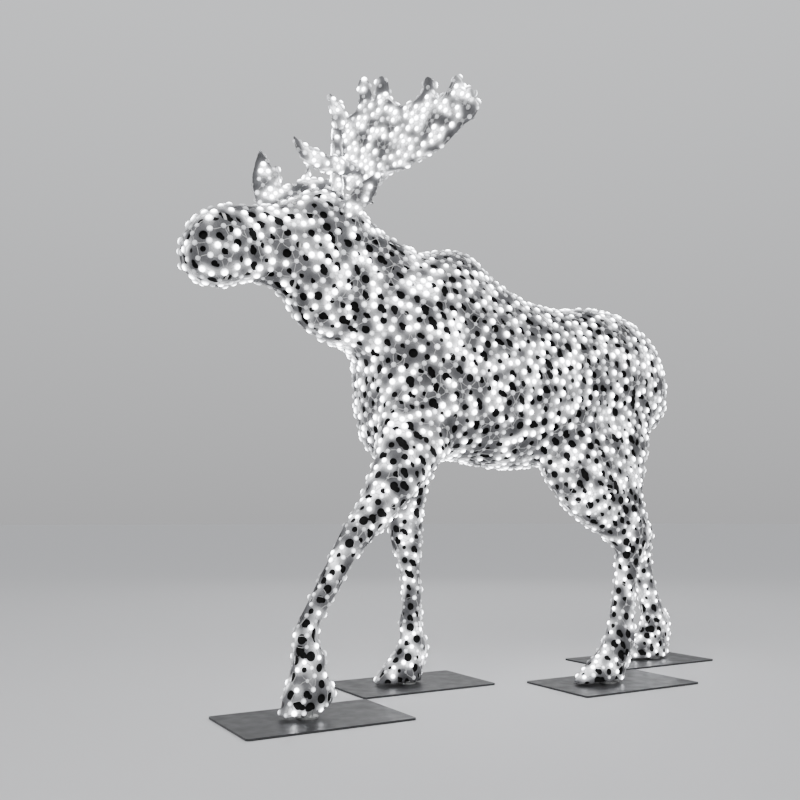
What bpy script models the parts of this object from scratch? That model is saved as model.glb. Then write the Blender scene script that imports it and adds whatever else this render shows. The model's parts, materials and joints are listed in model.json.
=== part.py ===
"""Walking moose light figure: a welded tube frame in light-net covers, on four floor plates.

Frame: the origin is on the floor, below the middle of the figure's bounding box, with +Z up.
The moose faces -X, so its left side is towards -Y. All lengths are in metres.
"""

import math

import bmesh
import bpy
from mathutils import Matrix, Vector

# ---------------------------------------------------------------- driving dimensions

CENTRE_X = 0.970           # the figure's middle, measured from the front left plate's centre
GAP = 0.0003               # between two pieces that touch
SEAM = 0.002               # between two light-net covers
SIDES = {"left": -1.0, "right": 1.0}

PLATE_LENGTH = 0.67
PLATE_WIDTH = 0.415
PLATE_THICKNESS = 0.008
PLATE_CORNER = 0.012
FOOT_Y = 0.22

COVER_WALL = 0.006
BODY_POINTS = 20           # points round a body, neck or head section
LEG_POINTS = 12            # points round a leg section
LEAF_POINTS = 12           # points round an ear or a brow leaf
FORM_MARGIN = 0.0015       # kept clear where one cover ends against another
FULLNESS = 0.88            # 1 is an ellipse, less is squarer

POST_RADIUS = 0.019
POST_WALL = 0.0025
FRAME_RADIUS = 0.017
FRAME_WALL = 0.0025
RAIL_RADIUS = 0.012
RAIL_WALL = 0.002
HOOP_RADIUS = 0.006
HOOP_INSET = 0.016
POST_HOLE_MARGIN = 0.010
CROSSBAR_CLEARANCE = 0.007             # a crossbar's underside, above a leg post's end
UPRIGHT_FOOT_CLEARANCE = 0.0015
UPRIGHT_HEAD_CLEARANCE = 0.005
SADDLE_X = 0.208
SADDLE_BOTTOM = 1.965
SADDLE_SIZE = (0.090, 0.120, 0.036)

FOOT_SOCKET_BORE = 0.0195
FOOT_SOCKET_RADIUS = 0.024
FOOT_SOCKET_HEIGHT = 0.070
FOOT_FLANGE_RADIUS = 0.042
FOOT_FLANGE_THICKNESS = 0.006
SET_SCREW_RADIUS = 0.004
SET_SCREW_HEIGHT = 0.045   # above the plate

ANTLER_BASE = (0.251, 0.131, 2.099)    # x from the front plate, distance from the middle, z
ANTLER_SPREAD = math.radians(65)       # palm's direction in plan, from +X outwards
SPIGOT_RISE = math.radians(40)         # spigot's slope in the palm's plane
STEM_HALF_WIDTH = 0.055
PALM_HALF_THICKNESS = 0.022
PALM_EDGE = 0.008
SPIGOT_RADIUS = 0.015
SPIGOT_WALL = 0.0025
SPIGOT_DEPTH = 0.090                   # inside the socket
SPIGOT_REACH = 0.130                   # inside the antler
SOCKET_BORE = 0.0152
SOCKET_RADIUS = 0.020
SOCKET_LENGTH = 0.115
SOCKET_TOP = 0.016                     # flange's upper face, from the antler base point
SOCKET_FLANGE_RADIUS = 0.042
SOCKET_FLANGE_THICKNESS = 0.006
KNOB_RADIUS = 0.014
KNOB_LOBE = 0.002
KNOB_HEIGHT = 0.012
KNOB_SCREW_RADIUS = 0.004
KNOB_BELOW_BASE = 0.010
KNOB_SHANK = 0.009
KNOB_FORWARD = 0.8                     # the knob's lean forward, against its rise
KNOB_RISE = 0.6
PLUG_HEIGHT = 0.018
PLUG_BORE = 0.0063
PLUG_BORE_DEPTH = 0.010
PIN_RADIUS = 0.006
PIN_HEIGHT = 0.009

BOX_CENTRE = (1.20, 0.0, 1.60)
BOX_LENGTH = 0.24
BOX_WIDTH = 0.13
BOX_HEIGHT = 0.085
BOX_WALL = 0.003
LID_THICKNESS = 0.008
LID_OVERHANG = 0.003
BRACKET_SIZE = (0.16, 0.10, 0.004)
BRACKET_WEB = (0.12, 0.004)            # length and thickness
BRACKET_CLEARANCE = 0.022              # the web's top, below the spine tube
DRIVER_SIZE = (0.17, 0.06, 0.038)
GLAND_HOLE_RADIUS = 0.0081
LEAD_RADIUS = 0.0035
LEAD_CLEARANCE = 0.003                 # a lead's end, from the driver box

# Sections: (x, z) of the first edge, (x, z) of the second edge, half width.
# Body sections run from nose to rump and join an upper to a lower edge.
HEAD = [
    ((-0.495, 1.820), (-0.492, 1.770), 0.050),
    ((-0.477, 1.888), (-0.468, 1.716), 0.096),
    ((-0.439, 1.950), (-0.400, 1.677), 0.126),
    ((-0.358, 2.004), (-0.315, 1.670), 0.134),
    ((-0.245, 2.024), (-0.225, 1.704), 0.124),
    ((-0.130, 2.042), (-0.120, 1.702), 0.124),
    ((-0.030, 2.090), (-0.035, 1.648), 0.138),
    ((0.085, 2.165), (0.035, 1.548), 0.152),
    ((0.215, 2.150), (0.150, 1.493), 0.160),
    ((0.330, 2.050), (0.208, 1.479), 0.166),
]
NECK = [
    ((0.330, 2.050), (0.208, 1.479), 0.166),
    ((0.440, 1.984), (0.258, 1.460), 0.182),
    ((0.590, 1.940), (0.306, 1.400), 0.212),
]
TORSO = [
    ((0.590, 1.940), (0.306, 1.400), 0.212),
    ((0.690, 1.966), (0.317, 1.250), 0.248),
    ((0.785, 1.976), (0.344, 1.105), 0.268),
    ((0.870, 1.936), (0.410, 1.005), 0.280),
    ((0.970, 1.858), (0.560, 0.990), 0.288),
    ((1.085, 1.803), (0.780, 1.010), 0.294),
    ((1.220, 1.772), (1.020, 0.978), 0.296),
    ((1.360, 1.766), (1.260, 0.995), 0.290),
    ((1.520, 1.792), (1.460, 1.040), 0.282),
    ((1.665, 1.788), (1.630, 1.090), 0.276),
    ((1.786, 1.752), (1.785, 1.135), 0.258),
    ((1.878, 1.692), (1.916, 1.170), 0.222),
    ((1.946, 1.612), (1.990, 1.218), 0.165),
    ((1.996, 1.520), (2.016, 1.350), 0.085),
]
# Each hoop: the section it follows and how far inside the cover it lies.
TORSO_HOOPS = {"chest": (2, 0.045), "shoulder": (4, 0.027), "belly": (7, HOOP_INSET),
               "hip": (9, HOOP_INSET), "rump": (11, 0.024)}
HEAD_HOOPS = {"muzzle": (3, 0.018), "cheek": (6, 0.020)}

# Tube lines on the middle plane, as (x, z) points.
NECK_TUBE = [(0.52, 1.845), (0.38, 1.795), (0.27, 1.800), (SADDLE_X, 1.870)]
HEAD_RAIL = [(0.0, 1.895), (-0.20, 1.850), (-0.41, 1.815)]

# Leg sections run from the body down to the sole and join a front to a rear edge:
# (x, z) of the front, (x, z) of the rear, half width, distance from the middle.
LEGS = {
    "front_left": [
        ((0.360, 1.300), (0.720, 1.260), 0.085, 0.140),
        ((0.305, 1.080), (0.660, 1.060), 0.100, 0.170),
        ((0.276, 0.960), (0.545, 0.950), 0.094, 0.190),
        ((0.210, 0.820), (0.425, 0.820), 0.080, 0.205),
        ((0.128, 0.710), (0.300, 0.710), 0.065, 0.215),
        ((0.064, 0.590), (0.172, 0.590), 0.055, FOOT_Y),
        ((0.010, 0.490), (0.112, 0.490), 0.051, FOOT_Y),
        ((-0.028, 0.420), (0.066, 0.420), 0.047, FOOT_Y),
        ((-0.066, 0.350), (0.026, 0.350), 0.046, FOOT_Y),
        ((-0.082, 0.290), (0.014, 0.290), 0.047, FOOT_Y),
        ((-0.080, 0.220), (0.047, 0.240), 0.052, FOOT_Y),
        ((-0.095, 0.150), (0.052, 0.170), 0.055, FOOT_Y),
        ((-0.122, 0.080), (0.088, 0.105), 0.060, FOOT_Y),
        ((-0.135, 0.012), (0.080, 0.052), 0.062, FOOT_Y),
    ],
    "front_right": [
        ((0.620, 1.300), (0.930, 1.260), 0.085, 0.140),
        ((0.600, 1.060), (0.840, 1.060), 0.095, 0.170),
        ((0.585, 0.950), (0.774, 0.940), 0.085, 0.190),
        ((0.572, 0.820), (0.742, 0.820), 0.072, 0.205),
        ((0.580, 0.700), (0.742, 0.700), 0.062, 0.215),
        ((0.596, 0.620), (0.740, 0.620), 0.055, FOOT_Y),
        ((0.632, 0.530), (0.732, 0.530), 0.048, FOOT_Y),
        ((0.650, 0.420), (0.738, 0.420), 0.045, FOOT_Y),
        ((0.650, 0.340), (0.738, 0.330), 0.045, FOOT_Y),
        ((0.634, 0.270), (0.741, 0.250), 0.047, FOOT_Y),
        ((0.638, 0.200), (0.768, 0.180), 0.052, FOOT_Y),
        ((0.600, 0.135), (0.768, 0.135), 0.055, FOOT_Y),
        ((0.545, 0.080), (0.745, 0.070), 0.060, FOOT_Y),
        ((0.502, 0.012), (0.742, 0.012), 0.062, FOOT_Y),
    ],
    "hind_left": [
        ((1.250, 1.360), (1.900, 1.320), 0.100, 0.140),
        ((1.155, 1.040), (1.800, 1.070), 0.110, 0.170),
        ((1.220, 0.870), (1.738, 0.900), 0.100, 0.190),
        ((1.345, 0.745), (1.738, 0.780), 0.085, 0.200),
        ((1.480, 0.665), (1.765, 0.690), 0.065, 0.212),
        ((1.553, 0.600), (1.720, 0.600), 0.055, FOOT_Y),
        ((1.553, 0.520), (1.675, 0.520), 0.048, FOOT_Y),
        ((1.536, 0.410), (1.642, 0.410), 0.045, FOOT_Y),
        ((1.508, 0.310), (1.632, 0.290), 0.046, FOOT_Y),
        ((1.478, 0.215), (1.632, 0.195), 0.052, FOOT_Y),
        ((1.430, 0.150), (1.605, 0.130), 0.055, FOOT_Y),
        ((1.345, 0.085), (1.575, 0.070), 0.060, FOOT_Y),
        ((1.272, 0.014), (1.548, 0.014), 0.062, FOOT_Y),
    ],
    "hind_right": [
        ((1.450, 1.360), (1.920, 1.320), 0.080, 0.130),
        ((1.500, 1.050), (2.000, 1.080), 0.100, 0.170),
        ((1.660, 0.900), (2.075, 0.930), 0.090, 0.190),
        ((1.830, 0.790), (2.135, 0.810), 0.075, 0.205),
        ((1.980, 0.700), (2.212, 0.690), 0.062, 0.215),
        ((2.060, 0.600), (2.200, 0.600), 0.052, FOOT_Y),
        ((2.092, 0.500), (2.200, 0.500), 0.046, FOOT_Y),
        ((2.118, 0.400), (2.220, 0.400), 0.044, FOOT_Y),
        ((2.134, 0.290), (2.262, 0.290), 0.046, FOOT_Y),
        ((2.140, 0.200), (2.325, 0.195), 0.052, FOOT_Y),
        ((2.110, 0.140), (2.312, 0.130), 0.055, FOOT_Y),
        ((2.068, 0.085), (2.300, 0.070), 0.060, FOOT_Y),
        ((2.030, 0.012), (2.290, 0.012), 0.062, FOOT_Y),
    ],
}
PLATE_X = {"front_left": 0.0, "front_right": 0.68, "hind_left": 1.50, "hind_right": 2.10}
SOCKET_X = {"front_left": -0.020, "front_right": 0.668, "hind_left": 1.470, "hind_right": 2.195}
STRAIGHT_FOOT = 0.105      # height to which a leg post stands upright in its socket
CANNON_BOTTOM = 0.20       # leg posts follow the sections' centres from here up

# One antler palm, in its own plane: outwards from the base, and up.
PALM = [
    (0.045, 0.018), (0.085, 0.055), (0.125, 0.088), (0.200, 0.092), (0.293, 0.114),
    (0.361, 0.126), (0.412, 0.147), (0.500, 0.208), (0.535, 0.220), (0.568, 0.256),
    (0.570, 0.286), (0.550, 0.312), (0.552, 0.342), (0.532, 0.354), (0.510, 0.346),
    (0.502, 0.388), (0.478, 0.426), (0.455, 0.408), (0.417, 0.356), (0.386, 0.346),
    (0.366, 0.372), (0.363, 0.432), (0.339, 0.459), (0.316, 0.442), (0.312, 0.402),
    (0.265, 0.368), (0.210, 0.364), (0.160, 0.396), (0.134, 0.440), (0.127, 0.500),
    (0.096, 0.533), (0.070, 0.505), (0.068, 0.456), (0.053, 0.428), (0.037, 0.458),
    (0.028, 0.522), (-0.006, 0.556), (-0.027, 0.526), (-0.020, 0.452), (-0.036, 0.408),
    (-0.085, 0.392), (-0.106, 0.345), (-0.112, 0.270), (-0.108, 0.190), (-0.106, 0.125),
    (-0.100, 0.080), (-0.072, 0.060),
]
# Round tines that stand off a palm: x, distance from the middle, z and radius.
LEFT_BROW = [
    (0.248, 0.112, 2.240, 0.020), (0.180, 0.122, 2.226, 0.038), (0.101, 0.140, 2.222, 0.042),
    (0.034, 0.155, 2.218, 0.041), (-0.025, 0.165, 2.230, 0.035), (-0.067, 0.168, 2.257, 0.023),
    (-0.092, 0.165, 2.299, 0.008),
]
RIGHT_BROW = [
    (0.250, 0.112, 2.230, 0.020), (0.222, 0.122, 2.233, 0.034), (0.172, 0.133, 2.231, 0.038),
    (0.111, 0.143, 2.220, 0.038), (0.070, 0.148, 2.202, 0.037), (0.029, 0.152, 2.180, 0.035),
    (-0.013, 0.154, 2.165, 0.034), (-0.050, 0.155, 2.162, 0.032),
]
BROW_SPUR = [
    (0.106, 0.143, 2.224, 0.022), (0.106, 0.143, 2.268, 0.015), (0.112, 0.143, 2.303, 0.011),
    (0.120, 0.143, 2.330, 0.005),
]
BROW_HEEL = [
    (-0.045, 0.154, 2.160, 0.031), (-0.041, 0.156, 2.232, 0.029), (-0.038, 0.158, 2.276, 0.019),
    (-0.036, 0.158, 2.299, 0.007),
]
INNER_TINE = [
    (0.275, 0.100, 2.480, 0.032), (0.243, 0.093, 2.563, 0.040), (0.211, 0.090, 2.615, 0.025),
    (0.188, 0.087, 2.662, 0.007),
]
TINES = {
    "left": {"brow": LEFT_BROW},
    "right": {"brow": RIGHT_BROW, "spur": BROW_SPUR, "heel": BROW_HEEL, "inner": INNER_TINE},
}
# Leaves: root and tip as (x, distance from the middle, z), half width, half thickness and
# the side the width lies along. The brow leaf ends the right antler's brow tine.
EAR = ((0.172, 0.135, 2.017), (0.264, 0.279, 2.185), 0.051, 0.022, (0.8, -0.2, -0.45))
BROW_LEAF = ((-0.068, 0.154, 2.085), (-0.110, 0.165, 2.362), 0.061, 0.020, (0.93, -0.36, 0.0))
LEAF_SHAPE = [(0.0, 0.75), (0.22, 0.96), (0.42, 1.0), (0.62, 0.86), (0.80, 0.56), (0.93, 0.28),
              (1.0, 0.08)]


# ---------------------------------------------------------------- scene and materials

for leftover in list(bpy.data.objects):
    bpy.data.objects.remove(leftover)

scene_collection = bpy.context.scene.collection
parts = bpy.data.collections.new("light_moose")
cutters = bpy.data.collections.new("cutters")
scene_collection.children.link(parts)
scene_collection.children.link(cutters)


def material(name, colour, roughness, metallic):
    """Return a Principled material, made on first use."""
    found = bpy.data.materials.get(name)
    if found:
        return found
    made = bpy.data.materials.new(name)
    made.use_nodes = True
    shader = made.node_tree.nodes["Principled BSDF"]
    shader.inputs["Base Color"].default_value = (*colour, 1.0)
    shader.inputs["Roughness"].default_value = roughness
    shader.inputs["Metallic"].default_value = metallic
    made.diffuse_color = (*colour, 1.0)
    return made


LIGHT_NET = material("light_net", (0.85, 0.86, 0.88), 0.45, 0.0)
WHITE_STEEL = material("white_coated_steel", (0.80, 0.80, 0.79), 0.40, 0.3)
PLATE_STEEL = material("dark_coated_steel", (0.085, 0.087, 0.09), 0.42, 0.6)
BRIGHT_STEEL = material("zinc_plated_steel", (0.62, 0.62, 0.60), 0.30, 1.0)
GREY_PLASTIC = material("grey_plastic", (0.30, 0.31, 0.32), 0.55, 0.0)
BLACK_PLASTIC = material("black_plastic", (0.03, 0.03, 0.03), 0.50, 0.0)
CABLE = material("white_cable", (0.78, 0.78, 0.76), 0.50, 0.0)


# ---------------------------------------------------------------- modelling helpers

def spot(x, y, z):
    """A point given from the front left plate's centre, in the figure's frame."""
    return Vector((x - CENTRE_X, y, z))


def finish(thing, paint, smooth_angle=35):
    """Name, colour and smooth a finished part."""
    thing.data.materials.clear()
    thing.data.materials.append(paint)
    if thing.type == "MESH":
        thing.data.shade_smooth()
        thing.data.set_sharp_from_angle(angle=math.radians(smooth_angle))
    return thing


def add_mesh(name, bm, collection):
    """Put a bmesh into a new object."""
    mesh = bpy.data.meshes.new(name)
    bm.to_mesh(mesh)
    bm.free()
    made = bpy.data.objects.new(name, mesh)
    collection.objects.link(made)
    if collection is cutters:
        made.hide_render = True
        made.display_type = "WIRE"
    return made


def cut(target, tool, operation="DIFFERENCE"):
    """Cut a part with a tool, or join the tool to it."""
    boolean = target.modifiers.new(tool.name, "BOOLEAN")
    boolean.operation = operation
    boolean.solver = "EXACT"
    boolean.object = tool


def section(first, second, half_width, y, count, grow=0.0):
    """Points round one rounded section that joins two edge points."""
    start = spot(first[0], y, first[1])
    end = spot(second[0], y, second[1])
    centre = (start + end) / 2
    half = (start - end) / 2
    half *= 1 + grow / half.length
    ring = []
    for index in range(count):
        angle = 2 * math.pi * index / count
        along = math.copysign(abs(math.cos(angle)) ** FULLNESS, math.cos(angle))
        across = math.copysign(abs(math.sin(angle)) ** FULLNESS, math.sin(angle))
        ring.append(centre + half * along + Vector((0, (half_width + grow) * across, 0)))
    return ring


def loft(name, rings, collection, cap_start=False, cap_end=False):
    """Skin a run of rings that have the same number of points, with outward faces."""
    bm = bmesh.new()
    rows = [[bm.verts.new(point) for point in ring] for ring in rings]
    count = len(rings[0])
    middle = [sum(ring, Vector()) / count for ring in rings]
    turn = (rings[0][0] - middle[0]).cross(rings[0][count // 4] - middle[0])
    outward = turn.dot(middle[1] - middle[0]) > 0
    faces = []
    for near, far in zip(rows, rows[1:]):
        for index in range(count):
            after = (index + 1) % count
            faces.append([near[index], near[after], far[after], far[index]])
    if cap_start:
        faces.append(rows[0][::-1])
    if cap_end:
        faces.append(rows[-1])
    for corners in faces:
        bm.faces.new(corners if outward else corners[::-1])
    return add_mesh(name, bm, collection)


def body_rings(sections, grow=0.0, shift=0.0):
    """Rings of a head, neck or body, the first one moved back by a seam."""
    rings = [section(a, b, width, 0.0, BODY_POINTS, grow) for a, b, width in sections]
    rings[0] = [point + Vector((shift, 0, 0)) for point in rings[0]]
    return rings


def leg_rings(leg, grow=0.0):
    """Rings of one leg, from the body down to the sole."""
    side = SIDES[leg.split("_")[1]]
    return [section(a, b, width, side * y, LEG_POINTS, grow) for a, b, width, y in LEGS[leg]]


def shell(thing, wall):
    """Thicken an open surface inwards."""
    solid = thing.modifiers.new("wall", "SOLIDIFY")
    solid.thickness = wall
    solid.offset = -1
    return thing


def curve_mesh(name, points, radii, collection, cyclic=False, capped=True):
    """A round bar through points, as a mesh with its caps welded."""
    curve = bpy.data.curves.new(name, "CURVE")
    curve.dimensions = "3D"
    curve.bevel_depth = 1.0
    curve.bevel_resolution = 2
    curve.use_fill_caps = capped and not cyclic
    spline = curve.splines.new("POLY")
    spline.points.add(len(points) - 1)
    spline.use_cyclic_u = cyclic
    for place, point, radius in zip(spline.points, points, radii):
        place.co = (*point, 1.0)
        place.radius = radius
    return weld_curve(name, curve, Matrix.Identity(4), collection)


def weld_curve(name, curve, matrix, collection):
    """Turn a curve into a mesh object whose caps are welded on."""
    source = bpy.data.objects.new(name + "_curve", curve)
    scene_collection.objects.link(source)
    source.matrix_world = matrix
    bpy.context.view_layer.update()
    evaluated = source.evaluated_get(bpy.context.evaluated_depsgraph_get())
    mesh = bpy.data.meshes.new_from_object(evaluated)
    bm = bmesh.new()
    bm.from_mesh(mesh)
    bmesh.ops.remove_doubles(bm, verts=bm.verts, dist=0.00005)
    made = add_mesh(name, bm, collection)
    made.matrix_world = matrix
    bpy.data.objects.remove(source)
    bpy.data.meshes.remove(mesh)
    return made


def bar(name, points, radius, paint, cyclic=False):
    """A solid round bar or hoop."""
    made = curve_mesh(name, points, [radius] * len(points), parts, cyclic=cyclic)
    return finish(made, paint)


def pipe(name, points, radius, wall, paint):
    """A hollow tube, open at both ends."""
    made = curve_mesh(name, points, [radius] * len(points), parts, capped=False)
    return finish(shell(made, wall), paint)


def turned(name, profile, steps, matrix, paint, closed):
    """A turned piece: a profile of (radius, height) that runs down its outer side."""
    bm = bmesh.new()
    verts = [bm.verts.new((radius, 0, height)) for radius, height in profile]
    pairs = list(zip(verts, verts[1:]))
    if closed:
        pairs.append((verts[-1], verts[0]))
    for start, end in pairs:
        bm.edges.new((start, end))
    made = add_mesh(name, bm, parts)
    screw = made.modifiers.new("turn", "SCREW")
    screw.steps = steps
    screw.render_steps = steps
    screw.use_merge_vertices = True
    screw.merge_threshold = 0.00001
    made.matrix_world = matrix
    return finish(made, paint)


def box(name, size, place, bevel, paint, collection=None):
    """A block with rounded edges."""
    bm = bmesh.new()
    bmesh.ops.create_cube(bm, size=1.0, matrix=Matrix.Diagonal((*size, 1.0)))
    made = add_mesh(name, bm, collection or parts)
    made.location = place
    if bevel:
        rounding = made.modifiers.new("edges", "BEVEL")
        rounding.width = bevel
        rounding.segments = 2
    return finish(made, paint)


def rod_cutter(name, start, end, radius):
    """A straight eight-sided cutter between two points, no narrower anywhere than its radius."""
    corner = radius / math.cos(math.pi / 8)
    return curve_mesh(name, [start, end], [corner] * 2, cutters)


def facing(direction, place):
    """Matrix that stands a piece's own Z along a direction."""
    turn = Vector((0, 0, 1)).rotation_difference(direction)
    return Matrix.Translation(place) @ turn.to_matrix().to_4x4()


def headed_screw(name, matrix, shank_radius, shank_length, head_ring, head_height, paint):
    """A screw whose shank starts at the origin and runs up its own Z to a shaped head."""
    count = len(head_ring)
    circle = [(math.cos(2 * math.pi * i / count), math.sin(2 * math.pi * i / count))
              for i in range(count)]
    shank = [(shank_radius * x, shank_radius * y) for x, y in circle]
    levels = [(shank, 0.0), (shank, shank_length), (head_ring, shank_length + 0.0001),
              (head_ring, shank_length + head_height)]
    rings = [[matrix @ Vector((x, y, height)) for x, y in ring] for ring, height in levels]
    return finish(loft(name, rings, parts, cap_start=True, cap_end=True), paint)


def wavy_ring(radius, swing, waves, count):
    """A circle whose radius swings in and out a number of times."""
    ring = []
    for index in range(count):
        angle = 2 * math.pi * index / count
        reach = radius + swing * math.cos(waves * angle)
        ring.append((reach * math.cos(angle), reach * math.sin(angle)))
    return ring


# ---------------------------------------------------------------- floor plates and feet

def foot_point(leg, height):
    """A point above a leg's foot socket."""
    side = SIDES[leg.split("_")[1]]
    return spot(SOCKET_X[leg], side * FOOT_Y, height)


def make_floor_plate(leg):
    """The flat steel plate under one hoof."""
    side = SIDES[leg.split("_")[1]]
    place = spot(PLATE_X[leg], side * FOOT_Y, PLATE_THICKNESS / 2)
    plate = box("floor_plate_" + leg, (PLATE_LENGTH, PLATE_WIDTH, PLATE_THICKNESS), place,
                0.0, PLATE_STEEL)
    rounding = plate.modifiers.new("corners", "BEVEL")
    rounding.width = PLATE_CORNER
    rounding.segments = 3
    rounding.limit_method = "WEIGHT"
    weights = plate.data.attributes.new("bevel_weight_edge", "FLOAT", "EDGE")
    for edge in plate.data.edges:
        low, high = (plate.data.vertices[index].co.z for index in edge.vertices)
        weights.data[edge.index].value = 1.0 if abs(high - low) > GAP else 0.0


def make_foot_socket(leg):
    """The socket welded to a floor plate, with its set screw."""
    top = FOOT_SOCKET_HEIGHT
    flange = FOOT_FLANGE_THICKNESS
    profile = [
        (FOOT_SOCKET_RADIUS, top), (FOOT_SOCKET_RADIUS, flange), (FOOT_FLANGE_RADIUS, flange),
        (FOOT_FLANGE_RADIUS, 0.0), (FOOT_SOCKET_BORE, 0.0), (FOOT_SOCKET_BORE, top),
    ]
    place = foot_point(leg, PLATE_THICKNESS + GAP)
    socket = turned("foot_socket_" + leg, profile, 20, Matrix.Translation(place), BRIGHT_STEEL,
                    closed=True)
    screw_root = foot_point(leg, PLATE_THICKNESS + SET_SCREW_HEIGHT)
    rear = Vector((1, 0, 0))
    cut(socket, rod_cutter("set_screw_hole_" + leg, screw_root, screw_root + rear * 0.04,
                           SET_SCREW_RADIUS + GAP))
    start = screw_root + rear * (POST_RADIUS + GAP)
    length = FOOT_SOCKET_RADIUS + GAP - POST_RADIUS
    headed_screw("set_screw_" + leg, facing(rear, start), SET_SCREW_RADIUS, length,
                 wavy_ring(0.0065, 0.0, 1, 6), 0.005, BRIGHT_STEEL)


def leg_line(leg):
    """The line a leg post follows, from its socket up into the body."""
    side = SIDES[leg.split("_")[1]]
    line = [foot_point(leg, PLATE_THICKNESS + FOOT_FLANGE_THICKNESS), foot_point(leg, STRAIGHT_FOOT)]
    for front, rear, _, y in reversed(LEGS[leg]):
        height = (front[1] + rear[1]) / 2
        if height > CANNON_BOTTOM:
            line.append(spot((front[0] + rear[0]) / 2, side * y, height))
    return line


def make_leg_post(leg):
    """The bent tube inside one leg."""
    pipe("leg_post_" + leg, leg_line(leg), POST_RADIUS, POST_WALL, WHITE_STEEL)


for leg_name in LEGS:
    make_floor_plate(leg_name)
    make_foot_socket(leg_name)
    make_leg_post(leg_name)


# ---------------------------------------------------------------- body frame

SPINE_DROP = HOOP_INSET + HOOP_RADIUS + FRAME_RADIUS + 0.024


def spine_line():
    """The spine tube's line, close under the withers, back and rump."""
    return [spot(upper[0], 0.0, upper[1] - SPINE_DROP) for upper, _, _ in TORSO[1:-2]]


def spine_height(x):
    """Height of the spine tube's centre at a place along the body."""
    line = spine_line()
    for near, far in zip(line, line[1:]):
        if near.x <= x <= far.x:
            share = (x - near.x) / (far.x - near.x)
            return near.z + share * (far.z - near.z)
    return line[-1].z


def make_crossbar(name, left_leg, right_leg):
    """A crossbar on top of a pair of leg posts, with an upright to the spine."""
    lift = Vector((0, 0, FRAME_RADIUS + CROSSBAR_CLEARANCE))
    ends = [leg_line(left_leg)[-1] + lift, leg_line(right_leg)[-1] + lift]
    reach = (ends[1] - ends[0]).normalized() * POST_RADIUS
    pipe(name + "_crossbar", [ends[0] - reach, ends[1] + reach], FRAME_RADIUS, FRAME_WALL,
         WHITE_STEEL)
    middle = (ends[0] + ends[1]) / 2
    foot_height = middle.z + FRAME_RADIUS + UPRIGHT_FOOT_CLEARANCE
    head_height = spine_height(middle.x) - FRAME_RADIUS - UPRIGHT_HEAD_CLEARANCE
    foot = Vector((middle.x, 0.0, foot_height))
    head = Vector((middle.x, 0.0, head_height))
    pipe(name + "_upright", [foot, head], FRAME_RADIUS, FRAME_WALL, WHITE_STEEL)


def make_hoop(name, sections, index, inset):
    """A round bar hoop just inside a cover."""
    first, second, half_width = sections[index]
    ring = section(first, second, half_width, 0.0, BODY_POINTS, -inset)
    bar(name + "_hoop", ring, HOOP_RADIUS, WHITE_STEEL, cyclic=True)


def make_head_frame():
    """Neck tube, head rail and the saddle that carries the antler sockets."""
    neck = [spine_line()[0] + Vector((-0.004, 0, -0.001))]
    neck += [spot(x, 0.0, z) for x, z in NECK_TUBE]
    neck += [spot(SADDLE_X, 0.0, SADDLE_BOTTOM - GAP)]
    pipe("neck_tube", neck, FRAME_RADIUS, FRAME_WALL, WHITE_STEEL)
    rail_start = SADDLE_X - FRAME_RADIUS - 0.001
    rail = [spot(x, 0.0, z) for x, z in [(rail_start, 1.905)] + HEAD_RAIL]
    pipe("head_rail", rail, RAIL_RADIUS, RAIL_WALL, WHITE_STEEL)
    box("antler_saddle", SADDLE_SIZE, spot(SADDLE_X, 0.0, SADDLE_BOTTOM + SADDLE_SIZE[2] / 2),
        0.003, WHITE_STEEL)


pipe("spine_tube", spine_line(), FRAME_RADIUS, FRAME_WALL, WHITE_STEEL)
make_crossbar("shoulder", "front_left", "front_right")
make_crossbar("haunch", "hind_left", "hind_right")
for hoop, (place_index, hoop_inset) in TORSO_HOOPS.items():
    make_hoop(hoop, TORSO, place_index, hoop_inset)
for hoop, (place_index, hoop_inset) in HEAD_HOOPS.items():
    make_hoop(hoop, HEAD, place_index, hoop_inset)
make_head_frame()


# ---------------------------------------------------------------- light-net covers

def make_body_covers():
    """The torso, neck and head covers, with holes where the posts pass."""
    torso = shell(loft("torso_light_net", body_rings(TORSO, shift=SEAM), parts, cap_end=True),
                  COVER_WALL)
    neck = shell(loft("neck_light_net", body_rings(NECK, shift=SEAM), parts), COVER_WALL)
    head = shell(loft("head_light_net", body_rings(HEAD), parts, cap_start=True), COVER_WALL)
    for leg in LEGS:
        line = leg_line(leg)[-4:]
        radii = [POST_RADIUS + POST_HOLE_MARGIN] * len(line)
        cut(torso, curve_mesh("post_hole_" + leg, line, radii, cutters))
    for cover in (torso, neck, head):
        finish(cover, LIGHT_NET)
    return head


def make_leg_covers():
    """The four leg covers, each ending against the torso."""
    torso_form = loft("torso_form", body_rings(TORSO, grow=FORM_MARGIN), cutters, True, True)
    for leg in LEGS:
        cover = shell(loft("leg_light_net_" + leg, leg_rings(leg), parts), COVER_WALL)
        cut(cover, torso_form)
        finish(cover, LIGHT_NET)


def leaf(name, side, form, collection):
    """A leaf-shaped form: an ear, or the flat end of a brow tine."""
    root, tip, half_width, half_thickness, width_way = form
    sign = SIDES[side]
    start = spot(root[0], sign * root[1], root[2])
    axis = spot(tip[0], sign * tip[1], tip[2]) - start
    across = Vector((width_way[0], sign * width_way[1], width_way[2]))
    across = (across - across.project(axis)).normalized()
    through = axis.cross(across).normalized()
    rings = []
    for share, size in LEAF_SHAPE:
        ring = []
        for index in range(LEAF_POINTS):
            angle = 2 * math.pi * index / LEAF_POINTS
            wide = across * math.cos(angle) * half_width * size
            deep = through * math.sin(angle) * half_thickness * size
            ring.append(start + axis * share + wide + deep)
        rings.append(ring)
    return loft(name, rings, collection, True, True)


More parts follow.
